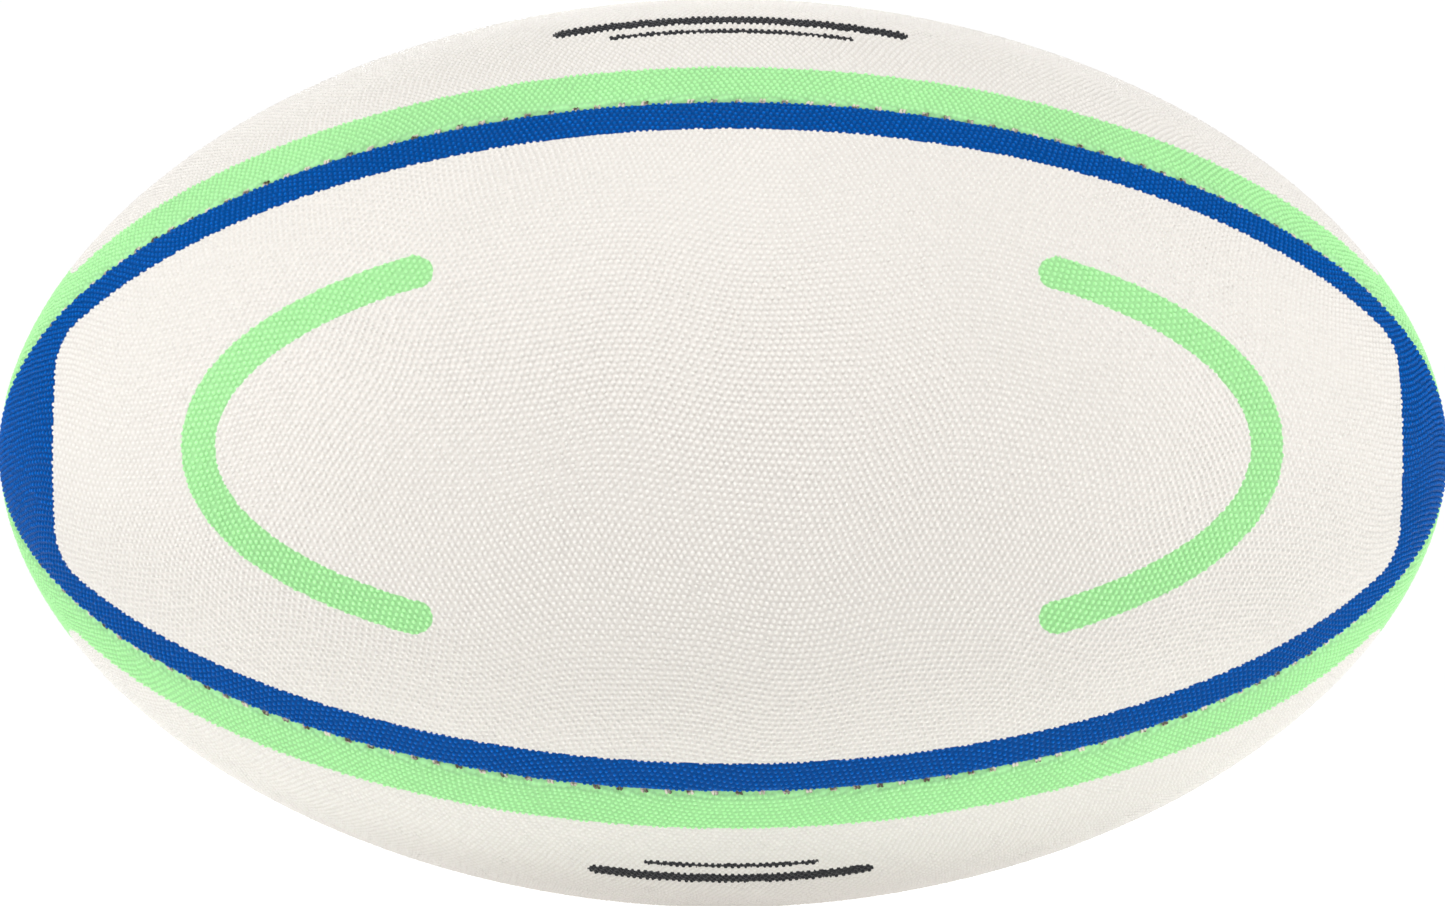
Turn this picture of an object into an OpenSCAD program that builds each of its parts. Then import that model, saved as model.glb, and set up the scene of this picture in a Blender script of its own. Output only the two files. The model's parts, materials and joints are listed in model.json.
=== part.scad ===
// Rugby ball, built as a four-panel stitched cover over a bladder.
// Millimetres. The origin is the ball's centre, +X runs along its length and +Z is up.
// The panels face -Y (front), +Z (top), +Y (back) and -Z (bottom), and the seams lie between them.

/* [Ball] */
// Length from tip to tip
ball_length = 296; // [280:1:300]
// Diameter at the middle
ball_diameter = 185; // [184:0.5:197]
// Power on the length: 2 gives an ellipse, and more gives blunter tips
length_power = 1.97; // [1.8:0.01:2.3]
// Power on the radius: 2 gives an ellipse, and less slims the ball towards its tips
radius_power = 1.85; // [1.7:0.01:2.3]

/* [Cover] */
// Thickness of the rubber skin
skin_t = 1; // [0.8:0.1:1.2]
// Thickness of one woven backing ply
ply_t = 0.3; // [0.2:0.05:0.4]
// Depth to which the panel edges turn in at a seam
flange_depth = 5; // [4:0.5:7]
// Radius of the hole through the back panel for the tip of the valve
valve_hole_r = 3; // [2.5:0.1:4]

/* [Seams] */
// Gap between the turned-in edges of two panels
seam_gap = 0.6; // [0.5:0.05:0.8]
// Width of the groove along a seam
groove_w = 1.8; // [1.4:0.1:1.9]
// Depth of the groove along a seam
groove_depth = 1; // [0.8:0.1:1.3]
// Diameter of the waxed thread
thread_d = 0.6; // [0.5:0.05:0.7]
// Distance along a seam from one stitch to the next
stitch_pitch = 4.5; // [4:0.1:6]

/* [Bladder] */
// Thickness of the bladder wall
bladder_t = 0.6; // [0.5:0.05:0.9]
// Thickness of the patches bonded inside the bladder
patch_t = 0.8; // [0.6:0.1:1.2]
// Radius of the patch round the valve
valve_patch_r = 16; // [13:0.5:20]
// Radius of the patch opposite the valve, which balances the ball
balance_patch_r = 24; // [18:0.5:30]

/* [Valve] */
// Radius of the needle channel
needle_r = 1; // [0.9:0.05:1.2]
// Length of the needle channel
needle_length = 12; // [8:0.5:13]
// Radius of the valve core
core_r = 1.9; // [1.6:0.1:2.2]
// Radius of the valve's stem inside the bladder
stem_r = 4; // [3.5:0.1:5]
// Radius of the valve's base flange
base_r = 10; // [8:0.5:12]
// Depth of the stem's inner end below the ball's surface
stem_depth = 17; // [16:0.5:22]

/* [Hidden] */
// Steps along a profile from tip to tip, and sides of the round shapes
profile_steps = 48;
$fn = 96;

half_length = ball_length / 2;
half_width = ball_diameter / 2;
plies = 3;

// Depths below the surface of the ball
ply_depth = [for (i = [0:plies]) skin_t + i * ply_t];
bladder_gap = 0.05;
bladder_depth = ply_depth[plies] + bladder_gap;
patch_depth = bladder_depth + bladder_t + bladder_gap;
base_depth = patch_depth + patch_t + bladder_gap;
base_t = 1.1;

// Room that the bladder leaves round the turned-in edges of the panels
channel_gap = 0.3;
channel_w = seam_gap + 2 * (ply_depth[plies] + channel_gap);
channel_depth = flange_depth + 0.5;

// Thread: cross stitches in the groove, on a flat run between the panel edges
stitch_length = groove_w - 0.1;
stitch_depth = groove_depth - 0.06 - thread_d / 2;
run_w = 0.4;
run_depth = [stitch_depth + 0.15, groove_depth + 1.2];
seam_end = 4;

// Valve fits
slip = 0.03;
core_recess = 0.8;
core_length = stem_depth - core_recess - 1;
tip_recess = 0.3;

outer_colour = [0.94, 0.93, 0.91];
cotton_colour = [0.86, 0.8, 0.68];
black_rubber = [0.12, 0.12, 0.13];

// Turn about the ball's length that brings the top panel to each place
TOP = 0;
FRONT = 90;
BOTTOM = 180;
BACK = -90;

// Radius of a ball of the given half length and half width, where the angle t puts x at a * sin(t)
function radius(a, b, t) = b * pow(max(0, 1 - pow(abs(sin(t)), length_power)), 1 / radius_power);

// Angles from tip to tip
function angles() = [for (i = [0:profile_steps]) -90 + 180 * i / profile_steps];

// One side of the ball's outline at a depth below the surface, from tip to tip
function side(depth) = [
    for (t = angles()) [(half_length - depth) * sin(t), radius(half_length - depth, half_width - depth, t)]
];

// Place on the outline at angle t, and the length of outline per degree there
function place(depth, t) = [
    (half_length - depth) * sin(t),
    radius(half_length - depth, half_width - depth, t)
];
function speed(t) = norm(place(0, t + 0.5) - place(0, t - 0.5));

// Angles of the stitches along one seam, a stitch_pitch apart
function stitch_angles(t, last) = t > last ? [] : concat([t], stitch_angles(t + stitch_pitch / speed(t), last));

// Solid ball, smaller than the real one by a depth all round
module ball(depth) {
    rotate([0, 90, 0])
        rotate_extrude()
            polygon([for (p = side(depth)) [p.y, p.x]]);
}

// Whole outline of the ball at a depth, in the plane z = 0
module outline(depth) {
    far_side = side(depth);
    polygon(concat(far_side, [for (i = [profile_steps - 1:-1:1]) [far_side[i].x, -far_side[i].y]]));
}

// Ring that follows the surface in both seam planes, down to a depth
module seam_rings(width, depth) {
    for (turn = [45, 135])
        rotate([turn, 0, 0])
            linear_extrude(height = width, center = true)
                difference() {
                    outline(-3);
                    outline(depth);
                }
}

// Quarter of space above the top panel, with its two sides moved in by an inset
module quarter(inset) {
    apex = inset * sqrt(2);
    reach = ball_diameter;
    rotate([90, 0, 90])
        linear_extrude(height = ball_length + 10, center = true)
            polygon([[0, apex], [reach, reach + apex], [-reach, reach + apex]]);
}

// One layer of the top panel between two depths, with its edges turned in at the seams
module panel_layer(outer, inner) {
    difference() {
        intersection() {
            ball(outer);
            quarter(seam_gap / 2 + outer);
        }
        intersection() {
            ball(inner);
            quarter(seam_gap / 2 + inner);
        }
        ball(flange_depth);
    }
}

// Hole for the tip of the valve, which stands on +Y
module valve_hole(r) {
    rotate([-90, 0, 0])
        cylinder(h = half_width + 5, r = r);
}

// Rubber skin of one panel
module skin(turn) {
    color(outer_colour)
        difference() {
            rotate([turn, 0, 0]) panel_layer(0, skin_t);
            seam_rings(groove_w, groove_depth);
            if (turn == BACK) valve_hole(valve_hole_r);
        }
}

// Woven backing ply of one panel: 1 lies against the skin and 3 against the bladder
module ply(number, turn) {
    color(cotton_colour)
        difference() {
            rotate([turn, 0, 0]) panel_layer(ply_depth[number - 1], ply_depth[number]);
            if (turn == BACK) valve_hole(valve_hole_r);
        }
}

// Waxed thread of one seam, with its cross stitches in the groove
module seam_thread(turn) {
    color(cotton_colour)
        rotate([turn, 0, 0]) {
            linear_extrude(height = run_w, center = true)
                intersection() {
                    difference() {
                        outline(run_depth[0]);
                        outline(run_depth[1]);
                    }
                    translate([-half_length, seam_end]) square([ball_length, half_width]);
                }
            for (t = stitch_angles(-86, 86))
                translate(place(stitch_depth, t))
                    cylinder(h = stitch_length, d = thread_d, center = true, $fn = 16);
        }
}

// Solid that the bladder's wall is measured from, with channels for the panel edges
module bladder_form(inset) {
    difference() {
        ball(bladder_depth + inset);
        seam_rings(channel_w + 2 * inset, channel_depth + inset);
    }
}

module bladder() {
    color(black_rubber)
        difference() {
            bladder_form(0);
            bladder_form(bladder_t);
            valve_hole(stem_r + slip);
        }
}

// Round patch that follows the bladder's inside, standing on +Y
module curved_disc(r, outer, inner) {
    intersection() {
        difference() {
            ball(outer);
            ball(inner);
        }
        valve_hole(r);
    }
}

module valve_patch() {
    color("dimgray")
        difference() {
            curved_disc(valve_patch_r, patch_depth, patch_depth + patch_t);
            valve_hole(stem_r + slip);
        }
}

module balance_patch() {
    color("dimgray")
        rotate([0, 0, 180])
            curved_disc(balance_patch_r, patch_depth, patch_depth + patch_t);
}

// Moulded rubber stem: a base flange, a body inside the bladder and a tip through the cover
module valve_stem() {
    tip_start = ply_depth[plies] + bladder_t;
    color("gray")
        difference() {
            union() {
                curved_disc(base_r, base_depth, base_depth + base_t);
                translate([0, half_width - stem_depth, 0])
                    rotate([-90, 0, 0])
                        cylinder(h = stem_depth - tip_start, r = stem_r);
                translate([0, half_width - stem_depth, 0])
                    rotate([-90, 0, 0])
                        cylinder(h = stem_depth - tip_recess, r = valve_hole_r - slip);
            }
            valve_hole(core_r);
        }
}

// Soft core pressed into the stem, with the blind needle channel along it
module valve_core() {
    color("black")
        translate([0, half_width - core_recess, 0])
            rotate([90, 0, 0])
                difference() {
                    cylinder(h = core_length, r = core_r - slip);
                    translate([0, 0, -1]) cylinder(h = needle_length + 1, r = needle_r);
                }
}

skin(FRONT);  // skin_front
skin(TOP);  // skin_top
skin(BACK);  // skin_back
skin(BOTTOM);  // skin_bottom
ply(1, FRONT);  // ply_1_front
ply(1, TOP);  // ply_1_top
ply(1, BACK);  // ply_1_back
ply(1, BOTTOM);  // ply_1_bottom
ply(2, FRONT);  // ply_2_front
ply(2, TOP);  // ply_2_top
ply(2, BACK);  // ply_2_back
ply(2, BOTTOM);  // ply_2_bottom
ply(3, FRONT);  // ply_3_front
ply(3, TOP);  // ply_3_top
ply(3, BACK);  // ply_3_back
ply(3, BOTTOM);  // ply_3_bottom
seam_thread(135);  // seam_thread_top_front
seam_thread(45);  // seam_thread_top_back
seam_thread(-45);  // seam_thread_bottom_back
seam_thread(-135);  // seam_thread_bottom_front
bladder();
valve_patch();
balance_patch();
valve_stem();
valve_core();
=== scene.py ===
import json
import math
from collections import namedtuple

import bpy
import numpy as np
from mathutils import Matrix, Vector


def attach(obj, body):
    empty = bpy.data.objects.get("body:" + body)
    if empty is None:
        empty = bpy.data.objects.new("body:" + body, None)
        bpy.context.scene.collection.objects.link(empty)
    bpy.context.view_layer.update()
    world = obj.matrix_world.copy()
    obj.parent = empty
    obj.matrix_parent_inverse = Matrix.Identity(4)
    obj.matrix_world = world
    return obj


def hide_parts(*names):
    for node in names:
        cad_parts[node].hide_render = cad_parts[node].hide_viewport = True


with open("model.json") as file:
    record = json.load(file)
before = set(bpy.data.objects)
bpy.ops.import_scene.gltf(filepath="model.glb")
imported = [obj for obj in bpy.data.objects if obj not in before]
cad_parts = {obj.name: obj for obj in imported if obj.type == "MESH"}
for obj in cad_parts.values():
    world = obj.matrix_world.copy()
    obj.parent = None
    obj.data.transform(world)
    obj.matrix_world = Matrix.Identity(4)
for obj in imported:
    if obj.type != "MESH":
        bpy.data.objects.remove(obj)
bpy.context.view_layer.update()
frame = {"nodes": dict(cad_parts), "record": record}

# Shapes are worked out in millimetres, and MM turns them into metres.
MM = 0.001
MOUNTS = {mount["name"]: mount for mount in frame["record"]["mounts"]}
HALF_LENGTH = -MOUNTS["tee_seat"]["pos_m"][0] / MM
HALF_WIDTH = -MOUNTS["side_rest"]["pos_m"][2] / MM
LENGTH_POWER = 1.97
RADIUS_POWER = 1.85

# The panels, by the angle of their middle round the ball's length: 0 faces -Y and 90 faces +Z.
PANELS = {"front": 0, "top": 90, "back": 180, "bottom": 270}
HALF_PANEL = math.pi / 4
MAX_SINE = 0.7  # just under the sine of half a panel
PANEL_SEED = 11

# The seams, by their angle and the side that the stitches lean to: towards larger angles or smaller ones.
SEAMS = {
    "top_front": (45, 1),
    "top_back": (135, -1),
    "bottom_back": (225, 1),
    "bottom_front": (315, -1),
}
THREAD_SEED = 31

# Pimples: a loose hexagonal lattice of small domes
PITCH = 1.3
PITCH_JITTER = 0.06
HEX_ROW = math.sqrt(0.75)  # distance between rows, as a share of the pitch
SPARE_ROWS = 3
DOME_HEIGHT = 0.42
HEIGHT_SPREAD = (0.85, 1.1)
DOME_RINGS = ((0.35, 0.74), (0.49, 0.0))  # radius, and share of the height
DOME_CROWDING = 0.47  # largest radius, as a share of the distance to the nearest neighbour
RING_SIDES = 6
RING_TURN = math.radians(30)
POINTS_PER_DOME = 1 + RING_SIDES * len(DOME_RINGS)
SHEET_STEPS = 12
RIM_HEIGHT = 0.5  # the height that sets the colour of the smooth rim along a seam, and so how much painted shade it gets

# The lattice's rows wander in a wide bend and a ripple, along the ball and across it.
Bends = namedtuple("Bends", "wide wide_length ripple ripple_length slant")
BENDS_ALONG = Bends(wide=1.8, wide_length=9.5, ripple=0.4, ripple_length=4.5, slant=0.3)
BENDS_ACROSS = Bends(wide=1.8, wide_length=10.5, ripple=0.35, ripple_length=5.0, slant=-0.3)

# Seams. An edge reaches past the seam's plane or stops short of it, rolls in, and goes down into the gap.
# The pimples end at lattice_end from the edge, and grow from nothing at bare to full height at full.
Edge = namedtuple("Edge", "reach roll lattice_end bare full pucker")
SHARP = Edge(reach=0.6, roll=0.9, lattice_end=0.3, bare=0.2, full=0.6, pucker=0.08)
SOFT = Edge(reach=-0.6, roll=2.2, lattice_end=0.5, bare=0.85, full=1.6, pucker=0.5)
EDGES = {"front": SHARP, "top": SOFT, "back": SHARP, "bottom": SOFT}
EDGE_STEP = 0.55
EDGE_LINES = 8
EDGE_LAP = 0.06  # how far the smooth strip runs in under the pimples
EDGE_TUCK = 0.01  # and how far below them it starts
WALL = 0.22  # distance of the gap's wall from the panel's edge
WALL_BEND = 0.9
WALL_DEPTH = 3.0
TIP_RADIUS = 0.75  # radius of the ball where the panels end
PUCKER_LENGTH = 0.95  # along the seam
PUCKER_FADE = (0.6, 3.0)  # from the edge

# Stitches: over each place lie two cords side by side, and each cord is two strands twisted together.
STITCH_PITCH = 4.5
STITCH_JITTER = 0.12
STITCH_END = 6.0  # distance of the last stitches from the ball's ends
STITCH_POINTS = 13
STITCH_START = -0.4  # across the seam's plane
STITCH_REACH = 2.3
STITCH_DEPTH = 0.5  # at its highest place, below the ball's surface
STITCH_TOP = 0.62  # share of the reach at which it is highest
STITCH_ARCH = 2.6
STITCH_LEAN = (0.25, 0.12)  # mean and spread
STITCH_RISE = (-0.1, 0.12)
CORD_SPACING = 0.34
CORD_TURNS = 0.8
STRAND_RADIUS = 0.2
STRAND_OFFSET = 0.13
STRAND_SIDES = 8
RUN_STEP = 0.9
RUN_DEPTH = 1.7
RUN_RADIUS = 0.14
RUN_OFFSET = 0.1
RUN_TWIST = 2
RUN_SIDES = 6

# Valve hole in the back panel
HOLE_RADIUS = 3.0
HOLE_BARE = (4.2, 5.2)  # the pimples grow from nothing to full height between these radii
HOLE_SIDES = 96
HOLE_PROFILE = ((0, -0.05), (0.08, 0.05), (0.3, 0.12), (1.0, 0.14), (1.9, 0.14))  # depth, and narrowing
HOLE_MAP_DEPTH = 3  # sets how far the wall runs in on the texture map

# Each skin is cut lengthwise into strips, by the distance from the panel's middle.
STRIPS = {"low_edge": (-90, -29), "low": (-29, 0), "high": (0, 29), "high_edge": (29, 90)}
MAP_MARGIN = 0.005  # of a strip's texture map

# Prints: a colour along each panel's seams and over its ends, and a figure on each panel
BLUE_STRIPE = 7.5
GREEN_STRIPE = 11.5
NOSE_LENGTH = 42.0
FIELD_CORNER = 6.0
ARC_OVAL = (101.5, 41.0)  # half length and half width of the oval that the curved bars follow
ARC_HALF_WIDTH = 3.4
ARC_END = 60.0  # distance of the curved bars' ends from the panel's middle
TOP_BARS = ((35.0, 2.2, 39.0), (24.0, 0.9, 45.5))  # half length, half width, distance from the middle
BOTTOM_BARS = ((28.0, 2.2, 40.0), (17.0, 0.9, 46.5))
PRINT_RAGGED = 0.45  # how far an ink's edge wavers
PRINT_SOFT = 0.08

WHITE = (0.865, 0.837, 0.797)
# The white with painted shade, as it shows on the ground between the pimples
WHITE_PAINTED_SHADE = (0.79, 0.757, 0.712)
Ink = namedtuple("Ink", "colour hollow top")  # with its shares of painted shade between the pimples and of a painted highlight on their tips
BLUE = Ink((0.001, 0.099, 0.425), 0.7, 1.6)
GREEN = Ink((0.48, 0.96, 0.43), 0.79, 1.12)
DARK = Ink((0.045, 0.046, 0.05), 0.84, 1.12)

# Places of the Mix node's colour sockets, which share their names with its number sockets
MIX_A = 6
MIX_B = 7
MIX_RESULT = 2

# Studio, in metres and watts. The floor and the room look brighter than the light that they give.
FLOOR_RADIUS = 1.2
FLOOR_SIDES = 96
FLOOR_LIGHT = 0.43
FLOOR_LOOK = 0.8
ROOM_LIGHT = 0.15
ROOM_LOOK = 1.02
Lamp = namedtuple("Lamp", "place size power")
LAMPS = {
    "left": Lamp(place=(-1.25, -0.3, 0.25), size=0.25, power=5.6),
    "right": Lamp(place=(1.25, -0.3, 0.25), size=0.25, power=6.2),
    "above": Lamp(place=(-0.1, -0.65, 1.1), size=0.25, power=9.0),
    "behind": Lamp(place=(0.0, 1.1, 0.6), size=0.5, power=6.0),
    "front": Lamp(place=(0.0, -1.5, -0.05), size=0.8, power=4.9),
}
CAMERA_DISTANCE = 0.863
CAMERA_AZIMUTH = math.radians(-1.5)
CAMERA_ELEVATION = math.radians(-1.14)
CAMERA_TARGET = (-0.0006, 0, 0)
CAMERA_LENS = 104.6
CAMERA_SENSOR = 36
CAMERA_NEAR = 0.05


# ---------------------------------------------------------------- the ball's surface


def radius(x):
    """Radius of the ball at a place along its length."""
    along = np.clip(1 - np.abs(x / HALF_LENGTH) ** LENGTH_POWER, 0, 1)
    return HALF_WIDTH * along ** (1 / RADIUS_POWER)


Meridian = namedtuple("Meridian", "s x r along out")


def make_meridian():
    """Arc length s from the middle, with x, the radius r, and the normal's parts along x and outwards."""
    t = np.linspace(-math.pi / 2, math.pi / 2, 8001)
    x = HALF_LENGTH * np.sin(t)
    r = radius(x)
    s = np.concatenate([[0], np.cumsum(np.hypot(np.diff(x), np.diff(r)))])
    return Meridian(s - s[-1] / 2, x, r, -np.gradient(r, s), np.gradient(x, s))


MERIDIAN = make_meridian()
HALF_ARC = MERIDIAN.s[-1]
LAST_ARC = MERIDIAN.s[MERIDIAN.r > TIP_RADIUS][-1]


def on_meridian(s, *names):
    """The meridian's named values at arc length s."""
    return [np.interp(s, MERIDIAN.s, getattr(MERIDIAN, name)) for name in names]


def radius_at(s):
    """Radius of the ball at arc length s."""
    return np.interp(s, MERIDIAN.s, MERIDIAN.r)


def to_space(s, angle, depth):
    """Points at arc length s and an angle round the ball, a depth below its surface."""
    x, r, along, out = on_meridian(s, "x", "r", "along", "out")
    ring = r - depth * out
    return np.stack([x - depth * along, -ring * np.cos(angle), ring * np.sin(angle)], -1)


def smooth_step(value, low, high):
    """0 up to low and 1 from high on, with a smooth rise between them."""
    t = np.clip((value - low) / (high - low), 0, 1)
    return t * t * (3 - 2 * t)


def gap_to_edge(h, r, edge):
    """Distance of a place on a panel from the panel's own edge."""
    return r * np.sin(HALF_PANEL - np.abs(h) / r) + edge.reach


def half_width(r, gap, edge):
    """Width from a panel's middle to the line that lies a gap inside its edge."""
    return (HALF_PANEL - np.arcsin(np.clip((gap - edge.reach) / r, -MAX_SINE, MAX_SINE))) * r


def roll_depth(gap, edge):
    """How far a panel's edge has rolled in, at a distance from it."""
    t = np.clip((edge.roll - gap) / edge.roll, 0, 1)
    return edge.roll * (1 - np.sqrt(1 - t * t))


def from_sheet(u, v):
    """Where a point of the flat rubber sheet ends up on a panel, as arc length s and width h.

    Each girth of the panel is a circular arc on the sheet, as on a cone that touches the ball there.
    """
    s = np.clip(u, -HALF_ARC, HALF_ARC)
    for _ in range(SHEET_STEPS):
        r, along = on_meridian(s, "r", "along")
        slope = np.maximum(np.abs(along), 1e-3)
        cone = r / slope + 1e-6
        turn = np.arcsin(np.clip(v / cone, -1, 1))
        s = np.clip(u - np.sign(u) * cone * (1 - np.cos(turn)), -HALF_ARC, HALF_ARC)
    return s, turn / slope * r


def stitch_places():
    """Arc lengths of the stitches along a seam."""
    last = HALF_ARC - STITCH_END
    return np.arange(-last, last, STITCH_PITCH)


def pucker(s, gap, edge):
    """Dimples that the stitches pull into a panel's edge."""
    away = (s - stitch_places()[0] + STITCH_PITCH / 2) % STITCH_PITCH - STITCH_PITCH / 2
    dimple = np.exp(-((away / PUCKER_LENGTH) ** 2))
    return edge.pucker * dimple * (1 - smooth_step(gap, *PUCKER_FADE))


# ---------------------------------------------------------------- prints


def band_print(s, h, r, stripe):
    """Distance inside an even stripe along a panel's seams and a nose cut straight across each end."""
    past_stripe = FIELD_CORNER + stripe - r * np.sin(HALF_PANEL - np.abs(h) / r)
    past_cut = FIELD_CORNER + np.abs(s) - (HALF_ARC - NOSE_LENGTH)
    corner = np.hypot(np.maximum(past_stripe, 0), np.maximum(past_cut, 0))
    return corner + np.minimum(np.maximum(past_stripe, past_cut), 0) - FIELD_CORNER


def arcs_print(x, h):
    """Distance inside two plain curved bars of even width, one towards each end of the panel."""
    x, h = np.abs(x), np.abs(h)
    half_length, half_height = ARC_OVAL
    from_oval = 1 - (x / half_length) ** 2 - (h / half_height) ** 2
    slope = 2 * np.hypot(x / half_length ** 2, h / half_height ** 2)
    bar = ARC_HALF_WIDTH - np.abs(from_oval) / np.maximum(slope, 0.01)
    end_h = half_height * math.sqrt(1 - (ARC_END / half_length) ** 2)
    round_end = ARC_HALF_WIDTH - np.hypot(x - ARC_END, h - end_h)
    return np.where(x > ARC_END, np.maximum(bar, round_end), round_end)


def bars_print(x, h, bars):
    """Distance inside plain round-ended bars on each side of a panel's middle."""
    inside = [
        thick - np.hypot(np.maximum(np.abs(x) - length + thick, 0), np.abs(h) - row)
        for length, thick, row in bars
    ]
    return np.maximum.reduce(inside)


def panel_prints(panel, s, h):
    """The band and the figure printed on a panel."""
    x, r = on_meridian(s, "x", "r")
    if panel in ("front", "back"):
        return band_print(s, h, r, BLUE_STRIPE), arcs_print(x, h)
    bars = TOP_BARS if panel == "top" else BOTTOM_BARS
    return band_print(s, h, r, GREEN_STRIPE), bars_print(x, h, bars)


# ---------------------------------------------------------------- panels

# A surface's points, at arc length s and width h on the panel. Its look is the height that sets its colour.
# That colour is painted shade where the look is low and, on the inks, a painted highlight where it is high.
Surface = namedtuple("Surface", "s h look points faces")


def wander(bends, across, along, turns):
    """How far the pimples of a row stand off a straight line."""
    wide = bends.wide * np.sin(across / bends.wide_length + turns[0])
    return wide + bends.ripple * np.sin((across + bends.slant * along) / bends.ripple_length + turns[1])


def lattice(rng):
    """Centres of the pimples on the flat sheet, as rows of lengths u and widths v."""
    rows = int(HALF_PANEL * HALF_WIDTH / (PITCH * HEX_ROW)) + SPARE_ROWS
    columns = int(HALF_ARC / PITCH) + SPARE_ROWS
    j, i = np.mgrid[-rows:rows + 1, -columns:columns + 1]
    u = (i + 0.5 * (j % 2)) * PITCH
    v = j * PITCH * HEX_ROW
    turns = rng.uniform(0, 2 * math.pi, 4)
    bend_u = wander(BENDS_ALONG, v, u, turns[:2])
    bend_v = wander(BENDS_ACROSS, u, v, turns[2:])
    jitter = rng.normal(0, PITCH_JITTER * PITCH, (2,) + u.shape)
    return u + bend_u + jitter[0], v + bend_v + jitter[1]


def odd_rows(rows):
    """Which rows of the lattice stand half a pitch further along."""
    return (np.arange(rows)[:, None] - (rows - 1) // 2) % 2


def nearest_neighbour(u, v):
    """Distance from each pimple to the nearest of the six around it."""
    def away(rows, columns):
        next_u, next_v = (np.roll(grid, (-rows, -columns), (0, 1)) for grid in (u, v))
        return np.hypot(next_u - u, next_v - v)

    odd = odd_rows(u.shape[0]) == 1
    found = [away(0, 1), away(0, -1), away(1, 0), away(-1, 0)]
    found += [np.where(odd, away(rows, 1), away(rows, -1)) for rows in (1, -1)]
    return np.minimum.reduce(found)


def dome_points(u, v):
    """Each pimple's apex and rings on the flat sheet, with their share of the height."""
    turn = RING_TURN + np.arange(RING_SIDES) * 2 * math.pi / RING_SIDES
    du = np.concatenate([[0]] + [size * np.cos(turn) for size, _ in DOME_RINGS])
    dv = np.concatenate([[0]] + [size * np.sin(turn) for size, _ in DOME_RINGS])
    share = np.concatenate([[1]] + [np.full(RING_SIDES, up) for _, up in DOME_RINGS])
    size = np.minimum(1, DOME_CROWDING / DOME_RINGS[-1][0] * nearest_neighbour(u, v))[..., None]
    shares = np.broadcast_to(share, u.shape + share.shape)
    return u[..., None] + size * du, v[..., None] + size * dv, shares


def dome_faces(rows, columns):
    """Triangles of every pimple and of the ground between pimples, as point numbers."""
    j, i = np.mgrid[0:rows, 0:columns]
    odd = odd_rows(rows)
    inner, outer = 1, 1 + RING_SIDES

    def numbers(dj, di, point):
        nj, ni = j + dj, i + di
        valid = (nj >= 0) & (nj < rows) & (ni >= 0) & (ni < columns)
        return np.where(valid, (nj * columns + ni) * POINTS_PER_DOME + point, -1)

    def outer_ring(dj, di):
        return [numbers(dj, di, outer + k) for k in range(RING_SIDES)]

    own = [numbers(0, 0, point) for point in range(POINTS_PER_DOME)]
    base = own[outer:]
    faces = []
    for k in range(RING_SIDES):
        n = (k + 1) % RING_SIDES
        faces.append((own[0], own[inner + k], own[inner + n]))
        faces.append((own[inner + k], base[k], base[n]))
        faces.append((own[inner + k], base[n], own[inner + n]))

    # The ground: a strip to each of three neighbours, and the two small triangles between the strips. The
    # corners of a ring are numbered anticlockwise from the one at the upper right.
    right, down_right = outer_ring(0, 1), outer_ring(-1, odd)
    up_right, up_left = outer_ring(1, odd), outer_ring(1, odd - 1)
    for a, b, c, d in (
        (base[5], right[3], right[2], base[0]),
        (base[0], up_right[4], up_right[3], base[1]),
        (base[1], up_left[5], up_left[4], base[2]),
    ):
        faces += [(a, b, c), (a, c, d)]
    faces.append((base[0], right[2], up_right[4]))
    faces.append((base[5], down_right[1], right[3]))
    faces = np.concatenate([np.stack([a.ravel(), b.ravel(), c.ravel()], -1) for a, b, c in faces])
    return faces[(faces >= 0).all(1)]


def keep_inside(s, h, edge, hole):
    """Moves points past a panel's edge, or into its valve hole, onto that border."""
    held_s = np.clip(s, -LAST_ARC, LAST_ARC)
    most = half_width(radius_at(held_s), edge.lattice_end, edge)
    held_h = np.clip(h, -most, most)
    moved = (held_s != s) | (held_h != h)
    if hole:
        away = np.hypot(held_s, held_h)
        inside = away < HOLE_RADIUS
        push = np.where(inside, HOLE_RADIUS / np.maximum(away, 1e-6), 1)
        held_s = held_s * push
        held_h = held_h * push
        moved = moved | inside
    return held_s, held_h, moved


def facing_out(points, faces):
    """The triangles that face out of the ball. Those folded over at a border are left out."""
    a, b, c = (points[faces[:, k]] for k in range(3))
    outward = (a + b + c) * ((HALF_WIDTH / HALF_LENGTH) ** 2, 1, 1)
    return faces[(np.cross(b - a, c - a) * outward).sum(1) > 0]


def panel_surface(panel, middle, rng):
    """One panel's pimpled face."""
    edge = EDGES[panel]
    centre_u, centre_v = lattice(rng)
    u, v, share = dome_points(centre_u, centre_v)
    s, h, moved = keep_inside(*from_sheet(u, v), edge, panel == "back")
    r = radius_at(s)
    gap = gap_to_edge(h, r, edge)
    grown = smooth_step(gap[..., :1], edge.bare, edge.full)
    height = share * grown
    height = height * rng.uniform(*HEIGHT_SPREAD, centre_u.shape)[..., None]
    if panel == "back":
        height = height * smooth_step(np.hypot(s, h)[..., :1], *HOLE_BARE)
    depth = roll_depth(gap, edge) + pucker(s, gap, edge) - DOME_HEIGHT * height
    points = to_space(s, math.radians(middle) + h / r, depth).reshape(-1, 3)
    faces = dome_faces(*centre_u.shape)
    faces = faces[~moved.ravel()[faces].all(1)]
    look = height + RIM_HEIGHT * (1 - grown)
    return Surface(s.ravel(), h.ravel(), look.ravel(), points, facing_out(points, faces))


def grid_faces(lines, places):
    """Triangles between neighbouring lines of points, as point numbers."""
    j, i = np.mgrid[0:lines - 1, 0:places - 1]
    a, b = j * places + i, (j + 1) * places + i
    return np.concatenate([np.stack(t, -1).reshape(-1, 3) for t in ((a, b, b + 1), (a, b + 1, a + 1))])


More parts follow.
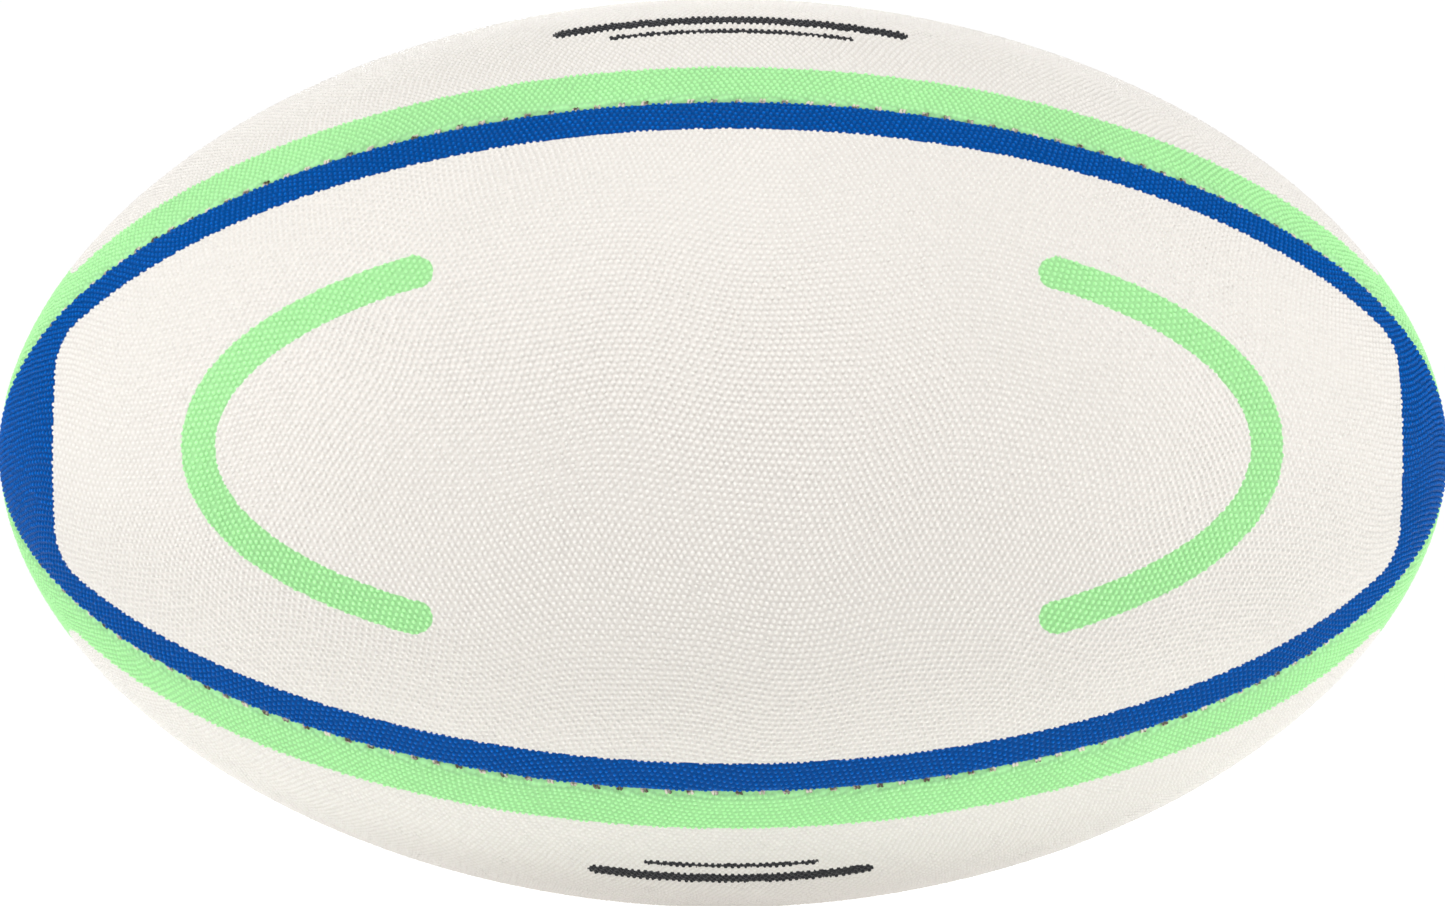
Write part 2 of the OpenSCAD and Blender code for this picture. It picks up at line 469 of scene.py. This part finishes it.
def panel_edge(panel, middle, side):
    """The smooth strip where a panel's edge rolls in and goes down into the seam."""
    edge = EDGES[panel]
    across = np.concatenate([np.linspace(edge.lattice_end + EDGE_LAP, WALL, EDGE_LINES), [WALL, WALL]])
    drop = np.concatenate([np.zeros(EDGE_LINES), [WALL_BEND, WALL_DEPTH - roll_depth(WALL, edge)]])
    along = np.linspace(-LAST_ARC, LAST_ARC, int(2 * LAST_ARC / EDGE_STEP))
    s, gap = np.meshgrid(along, across, indexing="ij")
    r = radius_at(s)
    h = half_width(r, gap, edge)
    depth = roll_depth(gap, edge) + pucker(s, gap, edge) + drop
    depth[:, 0] += EDGE_TUCK
    points = to_space(s, math.radians(middle) + side * h / r, depth)
    faces = grid_faces(*s.shape)
    if side < 0:
        faces = faces[:, ::-1]
    look = np.full(s.size, RIM_HEIGHT)
    return Surface(s.ravel(), (side * (h + drop)).ravel(), look, points.reshape(-1, 3), faces)


def hole_wall(middle):
    """The wall of the valve hole, with a rounded mouth."""
    depths, narrowing = np.array(HOLE_PROFILE).T
    turn, depth = np.meshgrid(np.linspace(0, 2 * math.pi, HOLE_SIDES + 1), depths, indexing="ij")
    size = HOLE_RADIUS - narrowing[None, :]
    s, h = size * np.cos(turn), size * np.sin(turn)
    points = to_space(s, math.radians(middle) + h / radius_at(s), depth)
    faces = grid_faces(*turn.shape)[:, ::-1]
    shrink = 1 - depth / HOLE_MAP_DEPTH
    flat_s, flat_h = (s * shrink).ravel(), (h * shrink).ravel()
    # A look of nought gives the hole's wall the full painted shade of the hollows.
    return Surface(flat_s, flat_h, np.zeros(s.size), points.reshape(-1, 3), faces)


def point_normals(points, faces):
    """Smooth normals from the whole surface, so that the cuts between pieces don't show."""
    a, b, c = (points[faces[:, k]] for k in range(3))
    face = np.cross(b - a, c - a)
    normals = np.zeros((len(points), 3))
    for axis in range(3):
        for corner in range(3):
            normals[:, axis] += np.bincount(faces[:, corner], face[:, axis], len(points))
    return normals / np.maximum(np.linalg.norm(normals, axis=1), 1e-12)[:, None]


def join(surfaces):
    """Several surfaces as one, with the points' normals."""
    starts = np.cumsum([0] + [len(part.points) for part in surfaces])
    faces = np.concatenate([part.faces + start for part, start in zip(surfaces, starts)])
    s, h, look, points = (np.concatenate(column) for column in zip(*(part[:4] for part in surfaces)))
    normals = np.concatenate([point_normals(part.points, part.faces) for part in surfaces])
    return Surface(s, h, look, points, faces), normals


def mesh_object(name, points, faces, normals=None):
    """An object from points in millimetres and triangles."""
    mesh = bpy.data.meshes.new(name)
    mesh.vertices.add(len(points))
    mesh.vertices.foreach_set("co", (points * MM).astype(np.float32).ravel())
    mesh.loops.add(faces.size)
    mesh.loops.foreach_set("vertex_index", faces.astype(np.int32).ravel())
    mesh.polygons.add(len(faces))
    mesh.polygons.foreach_set("loop_start", np.arange(0, faces.size, 3, dtype=np.int32))
    mesh.update(calc_edges=True)
    mesh.shade_smooth()
    if normals is not None:
        mesh.normals_split_custom_set_from_vertices(normals.astype(np.float32))
    piece = bpy.data.objects.new(name, mesh)
    bpy.context.scene.collection.objects.link(piece)
    return piece


def add_values(piece, **values):
    """A number at each point of a piece, which its material reads by name."""
    for name, numbers in values.items():
        layer = piece.data.attributes.new(name, "FLOAT", "POINT")
        layer.data.foreach_set("value", numbers.astype(np.float32))


def add_flat_map(piece, u, v, faces):
    """A texture map from the flattened panel."""
    flat = np.stack([(u - u.min()) / np.ptp(u), (v - v.min()) / np.ptp(v)], -1)
    flat = flat * (1 - 2 * MAP_MARGIN) + MAP_MARGIN
    layer = piece.data.uv_layers.new(name="OFBake")
    layer.data.foreach_set("uv", flat[faces.ravel()].astype(np.float32).ravel())


def build_panel(panel, middle, material, rng):
    """A panel's skin, cut lengthwise into strips so that each mesh stays a manageable size."""
    surfaces = [panel_surface(panel, middle, rng)]
    surfaces += [panel_edge(panel, middle, side) for side in (1, -1)]
    if panel == "back":
        surfaces.append(hole_wall(middle))
    skin, normals = join(surfaces)
    band, figure = panel_prints(panel, skin.s, skin.h)
    face_h = skin.h[skin.faces].mean(1)
    for name, (low, high) in STRIPS.items():
        own = skin.faces[(face_h >= low) & (face_h < high)]
        used, own = np.unique(own, return_inverse=True)
        own = own.reshape(-1, 3)
        piece = mesh_object(f"skin_{panel}_{name}", skin.points[used], own, normals[used])
        add_values(piece, band=band[used], figure=figure[used], height=skin.look[used])
        add_flat_map(piece, skin.s[used], skin.h[used], own)
        piece.data.materials.append(material)
        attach(piece, "root")
        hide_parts(f"skin_{panel}")


# ---------------------------------------------------------------- thread


def tubes(paths, size, sides):
    """Round tubes along paths of shape (tubes, points, 3), closed at both ends."""
    count, rings, _ = paths.shape
    ahead = np.gradient(paths, axis=1)
    ahead /= np.linalg.norm(ahead, axis=2, keepdims=True)
    reference = paths / np.linalg.norm(paths, axis=2, keepdims=True)
    side = np.cross(ahead, reference)
    side /= np.linalg.norm(side, axis=2, keepdims=True)
    up = np.cross(side, ahead)
    turn = np.arange(sides) * 2 * math.pi / sides
    ring = np.cos(turn)[:, None] * side[:, :, None] + np.sin(turn)[:, None] * up[:, :, None]
    points = paths[:, :, None] + size * ring
    t, j, i = np.mgrid[0:count, 0:rings - 1, 0:sides]
    n = (i + 1) % sides

    def number(ring_j, ring_i):
        return (t * rings + ring_j) * sides + ring_i

    a, b, c, d = number(j, i), number(j, n), number(j + 1, n), number(j + 1, i)
    faces = [np.stack(corners, -1).reshape(-1, 3) for corners in ((a, b, c), (a, c, d))]
    tube = np.arange(count)
    for end, order in ((0, -1), (rings - 1, 1)):
        for k in range(1, sides - 1):
            cap = np.stack([(tube * rings + end) * sides + corner for corner in (0, k, k + 1)], -1)
            faces.append(cap[:, ::order])
    return points.reshape(-1, 3), np.concatenate(faces)


def seam_points(s, angle, across, depth):
    """Points beside a seam: across is the distance from its plane, towards larger angles."""
    x, r, along, out = on_meridian(s, "x", "r", "along", "out")
    ring = r - depth * out
    outward = np.stack([np.zeros_like(ring), -np.cos(angle) * ring, np.sin(angle) * ring], -1)
    sideways = np.stack([np.zeros_like(ring), np.sin(angle) * across, np.cos(angle) * across], -1)
    lengthwise = np.stack([x - depth * along, np.zeros_like(ring), np.zeros_like(ring)], -1)
    return outward + sideways + lengthwise


def stitch_strands(angle, towards, rng):
    """Paths of the strands of every stitch over a seam."""
    places = stitch_places()[:, None] + rng.normal(0, STITCH_JITTER, (len(stitch_places()), 1))
    t = np.linspace(0, 1, STITCH_POINTS)[None, :]
    lean = rng.normal(*STITCH_LEAN, places.shape)
    rise = rng.uniform(*STITCH_RISE, places.shape)
    strands = []
    for cord in (-CORD_SPACING, CORD_SPACING):
        turn = rng.uniform(0, 2 * math.pi, places.shape)
        for strand in range(2):
            twist = 2 * math.pi * (CORD_TURNS * t + strand / 2) + turn
            across = towards * (STITCH_START + STITCH_REACH * t + STRAND_OFFSET * np.cos(twist))
            depth = STITCH_DEPTH - rise + STITCH_ARCH * (t - STITCH_TOP) ** 2
            s = places + cord + lean * (t - 0.5) * 2 + STRAND_OFFSET * np.sin(twist)
            strands.append(seam_points(s, angle, across, depth))
    return np.concatenate(strands)


def run_strands(angle):
    """Paths of the two strands that run along a seam, under its stitches."""
    s = np.arange(stitch_places()[0], stitch_places()[-1], RUN_STEP)[None, :]
    runs = []
    for turn in (0, math.pi):
        twist = s * RUN_TWIST + turn
        depth = RUN_DEPTH + RUN_OFFSET * np.sin(twist)
        runs.append(seam_points(s, angle, RUN_OFFSET * np.cos(twist), depth))
    return np.concatenate(runs)


def build_thread(name, middle, towards, material, rng):
    """The thread of one seam: a stitch over the groove at each place, and a run under them."""
    angle = math.radians(middle)
    points, faces = tubes(stitch_strands(angle, towards, rng), STRAND_RADIUS, STRAND_SIDES)
    run_points, run_faces = tubes(run_strands(angle), RUN_RADIUS, RUN_SIDES)
    faces = np.concatenate([faces, run_faces + len(points)])
    piece = mesh_object(f"stitches_{name}", np.concatenate([points, run_points]), faces)
    piece.data.materials.append(material)
    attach(piece, "root")
    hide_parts(f"seam_thread_{name}")


# ---------------------------------------------------------------- materials


class Nodes:
    """Short calls for making a material's nodes."""

    def __init__(self, name, roughness):
        self.material = bpy.data.materials.new(name)
        self.material.use_nodes = True
        self.tree = self.material.node_tree
        self.shader = self.tree.nodes["Principled BSDF"]
        self.shader.inputs["Roughness"].default_value = roughness

    def add(self, kind, **settings):
        node = self.tree.nodes.new("ShaderNode" + kind)
        for key, value in settings.items():
            setattr(node, key, value)
        return node

    def link(self, output, target):
        """Feeds a socket with another node's output, a number or a colour."""
        if isinstance(output, (int, float)):
            target.default_value = output
        elif isinstance(output, tuple):
            target.default_value = (*output, 1)[: len(target.default_value)]
        else:
            self.tree.links.new(output, target)

    def value(self, name):
        """A number that add_values put on the mesh."""
        return self.add("Attribute", attribute_name=name).outputs["Fac"]

    def place(self):
        return self.add("TexCoord").outputs["Object"]

    def noise(self, scale, detail=2.0):
        node = self.add("TexNoise")
        self.link(self.place(), node.inputs["Vector"])
        self.link(float(scale), node.inputs["Scale"])
        self.link(float(detail), node.inputs["Detail"])
        return node.outputs["Fac"]

    def math(self, operation, a, b=0.0):
        node = self.add("Math", operation=operation)
        self.link(a, node.inputs[0])
        self.link(b, node.inputs[1])
        return node.outputs[0]

    def between(self, value, low, high, new_low=0.0, new_high=1.0):
        """A smooth rise from new_low to new_high, as the value goes from low to high."""
        node = self.add("MapRange", interpolation_type="SMOOTHSTEP")
        for number, socket in zip((value, low, high, new_low, new_high), node.inputs):
            self.link(number, socket)
        return node.outputs[0]

    def mix(self, factor, a, b):
        node = self.add("Mix", data_type="RGBA")
        self.link(factor, node.inputs["Factor"])
        self.link(a, node.inputs[MIX_A])
        self.link(b, node.inputs[MIX_B])
        return node.outputs[MIX_RESULT]

    def darker(self, colour, share):
        node = self.add("HueSaturation")
        self.link(colour, node.inputs["Color"])
        self.link(share, node.inputs["Value"])
        return node.outputs["Color"]

    def bump(self, height, strength, distance):
        node = self.add("Bump")
        self.link(strength, node.inputs["Strength"])
        self.link(distance, node.inputs["Distance"])
        self.link(height, node.inputs["Height"])
        self.tree.links.new(node.outputs["Normal"], self.shader.inputs["Normal"])

    def colour(self, output):
        self.link(output, self.shader.inputs["Base Color"])

    def roughness(self, output):
        self.link(output, self.shader.inputs["Roughness"])


def shade(colour, share):
    """A colour made darker or lighter."""
    return tuple(min(1.0, c * share) for c in colour)


def printed_rubber(name, band_ink, figure_ink):
    """Off-white moulded rubber with two inks, painted shade between pimples and painted highlights on inked
    tips.
    """
    n = Nodes(name, 0.42)
    n.shader.inputs["Specular IOR Level"].default_value = 0.05
    height = n.value("height")
    ragged = n.math("MULTIPLY", n.math("SUBTRACT", n.noise(900, detail=1), 0.5), PRINT_RAGGED)
    cloudy = n.noise(28, detail=3)
    white = n.mix(cloudy, shade(WHITE, 0.97), WHITE)
    # Painted shade: the white darkens down the pimples' sides to the ground between them.
    colour = n.mix(n.between(height, 0, 0.55), WHITE_PAINTED_SHADE, white)
    for area, ink in (("band", band_ink), ("figure", figure_ink)):
        cover = n.between(n.math("ADD", n.value(area), ragged), -PRINT_SOFT, PRINT_SOFT)
        # Painted shade between the pimples and a painted highlight on their tips
        tone = n.mix(n.between(height, 0, 0.7), shade(ink.colour, ink.hollow), ink.colour)
        tone = n.mix(n.between(height, 0.74, 1), tone, shade(ink.colour, ink.top))
        tone = n.mix(n.between(cloudy, 0.35, 0.7), tone, n.darker(tone, 0.94))
        colour = n.mix(cover, colour, tone)
    n.colour(colour)
    n.roughness(n.between(n.noise(160, detail=3), 0.3, 0.7, 0.26, 0.38))
    n.bump(n.noise(2600), strength=0.25, distance=0.00003)
    return n.material


def mottled_thread():
    """Beige thread with dark brown patches scattered at random."""
    n = Nodes("mottled_thread", 0.6)
    spots = n.noise(420, detail=3)
    n.colour(n.mix(n.between(spots, 0.38, 0.58), (0.08, 0.055, 0.035), (0.76, 0.7, 0.6)))
    n.roughness(n.between(spots, 0.3, 0.7, 0.45, 0.75))
    n.bump(n.noise(3500), strength=0.5, distance=0.00005)
    return n.material


def woven_cloth(name, light, dark):
    """Plain-woven cotton: two crossed sets of fine ribs."""
    n = Nodes(name, 0.85)
    ribs = []
    for direction in ("X", "Z"):
        wave = n.add("TexWave", bands_direction=direction)
        n.link(n.place(), wave.inputs["Vector"])
        n.link(480.0, wave.inputs["Scale"])
        n.link(0.6, wave.inputs["Distortion"])
        ribs.append(wave.outputs["Fac"])
    weave = n.math("MAXIMUM", ribs[0], ribs[1])
    n.colour(n.mix(weave, dark, light))
    n.roughness(n.between(n.noise(220, detail=3), 0.3, 0.7, 0.78, 0.92))
    n.bump(weave, strength=0.6, distance=0.00012)
    return n.material


def plain_rubber(name, colour, grain, rough):
    """Moulded rubber in one colour, with a dusty bloom."""
    n = Nodes(name, rough)
    bloom = n.noise(grain, detail=4)
    n.colour(n.mix(n.between(bloom, 0.4, 0.7), colour, shade(colour, 1.59)))
    n.roughness(n.between(bloom, 0.3, 0.7, rough - 0.08, rough + 0.1))
    n.bump(n.noise(1800), strength=0.3, distance=0.00005)
    return n.material


def paint_inner_pieces():
    """Materials for the CAD nodes that stay."""
    cloth = [
        woven_cloth("cotton_ply_1", light=(0.78, 0.7, 0.55), dark=(0.5, 0.43, 0.32)),
        woven_cloth("cotton_ply_2", light=(0.74, 0.68, 0.56), dark=(0.48, 0.42, 0.33)),
        woven_cloth("cotton_ply_3", light=(0.7, 0.66, 0.58), dark=(0.45, 0.41, 0.34)),
    ]
    patch = plain_rubber("patch_rubber", (0.06, 0.06, 0.065), grain=180, rough=0.6)
    own = {
        "bladder": plain_rubber("bladder_rubber", (0.03, 0.03, 0.035), grain=60, rough=0.45),
        "valve_patch": patch,
        "balance_patch": patch,
        "valve_stem": plain_rubber("valve_stem_rubber", (0.1, 0.1, 0.1), grain=900, rough=0.5),
        "valve_core": plain_rubber("valve_core_rubber", (0.05, 0.05, 0.05), grain=900, rough=0.4),
    }
    for i, material in enumerate(cloth, 1):
        for panel in PANELS:
            own[f"ply_{i}_{panel}"] = material
    for name, material in own.items():
        node = frame["nodes"][name]
        for slot in node.material_slots:
            slot.material = material
        if not node.material_slots:
            node.data.materials.append(material)


# ---------------------------------------------------------------- studio


def brighter_when_seen(tree, target, light, look):
    """Gives the backdrop one strength as a light on the ball, and another where it is seen directly."""
    seen = tree.nodes.new("ShaderNodeLightPath")
    strength = tree.nodes.new("ShaderNodeMapRange")
    strength.inputs["To Min"].default_value = light
    strength.inputs["To Max"].default_value = look
    tree.links.new(seen.outputs["Is Camera Ray"], strength.inputs["Value"])
    tree.links.new(strength.outputs["Result"], target)


def build_floor():
    """A pale round floor under the ball, so bright that it runs into the white behind."""
    mesh = bpy.data.meshes.new("floor")
    turns = [2 * math.pi * k / FLOOR_SIDES for k in range(FLOOR_SIDES)]
    verts = [(FLOOR_RADIUS * math.cos(t), FLOOR_RADIUS * math.sin(t), -HALF_WIDTH * MM) for t in turns]
    mesh.from_pydata(verts, [], [range(FLOOR_SIDES)])
    floor = bpy.data.objects.new("floor", mesh)
    bpy.context.scene.collection.objects.link(floor)
    n = Nodes("pale_paper", 0.9)
    n.colour(n.mix(n.noise(3), (0.78, 0.78, 0.78), (0.8, 0.8, 0.8)))
    n.shader.inputs["Emission Color"].default_value = (1, 1, 1, 1)
    brighter_when_seen(n.tree, n.shader.inputs["Emission Strength"], FLOOR_LIGHT, FLOOR_LOOK)
    floor.data.materials.append(n.material)


def aim(thing, target):
    """Turns a lamp or the camera to face a point."""
    away = Vector(thing.location) - Vector(target)
    thing.rotation_euler = away.to_track_quat("Z", "Y").to_euler()


def add_lamp(name, lamp):
    data = bpy.data.lights.new(name, "AREA")
    data.shape = "DISK"
    data.size = lamp.size
    data.energy = lamp.power
    light = bpy.data.objects.new(name, data)
    light.location = lamp.place
    aim(light, (0, 0, 0))
    bpy.context.scene.collection.objects.link(light)


def build_studio():
    """Soft light from a white room, and lamps on all sides that model the pimples."""
    world = bpy.data.worlds.new("studio")
    world.use_nodes = True
    background = world.node_tree.nodes["Background"]
    background.inputs["Color"].default_value = (1, 1, 1, 1)
    brighter_when_seen(world.node_tree, background.inputs["Strength"], ROOM_LIGHT, ROOM_LOOK)
    bpy.context.scene.world = world
    bpy.context.scene.view_settings.view_transform = "Standard"
    for name, lamp in LAMPS.items():
        add_lamp(name, lamp)


def build_camera():
    """Almost level, and a little to the left of the front panel's middle."""
    data = bpy.data.cameras.new("camera")
    data.sensor_width = CAMERA_SENSOR
    data.lens = CAMERA_LENS
    data.clip_start = CAMERA_NEAR
    camera = bpy.data.objects.new("camera", data)
    camera.location = (
        CAMERA_DISTANCE * math.sin(CAMERA_AZIMUTH) * math.cos(CAMERA_ELEVATION),
        -CAMERA_DISTANCE * math.cos(CAMERA_AZIMUTH) * math.cos(CAMERA_ELEVATION),
        CAMERA_DISTANCE * math.sin(CAMERA_ELEVATION),
    )
    aim(camera, CAMERA_TARGET)
    bpy.context.scene.collection.objects.link(camera)
    bpy.context.scene.camera = camera


# ---------------------------------------------------------------- the scene

build_camera()
build_studio()
build_floor()

blue_edged = printed_rubber("printed_rubber_blue", BLUE, GREEN)
green_edged = printed_rubber("printed_rubber_green", GREEN, DARK)
for number, (panel_name, panel_middle) in enumerate(PANELS.items()):
    rubber = blue_edged if panel_name in ("front", "back") else green_edged
    panel_rng = np.random.default_rng(PANEL_SEED + number)
    build_panel(panel_name, panel_middle, rubber, panel_rng)

thread_material = mottled_thread()
for number, (seam_name, (seam_middle, seam_side)) in enumerate(SEAMS.items()):
    seam_rng = np.random.default_rng(THREAD_SEED + number)
    build_thread(seam_name, seam_middle, seam_side, thread_material, seam_rng)

paint_inner_pieces()
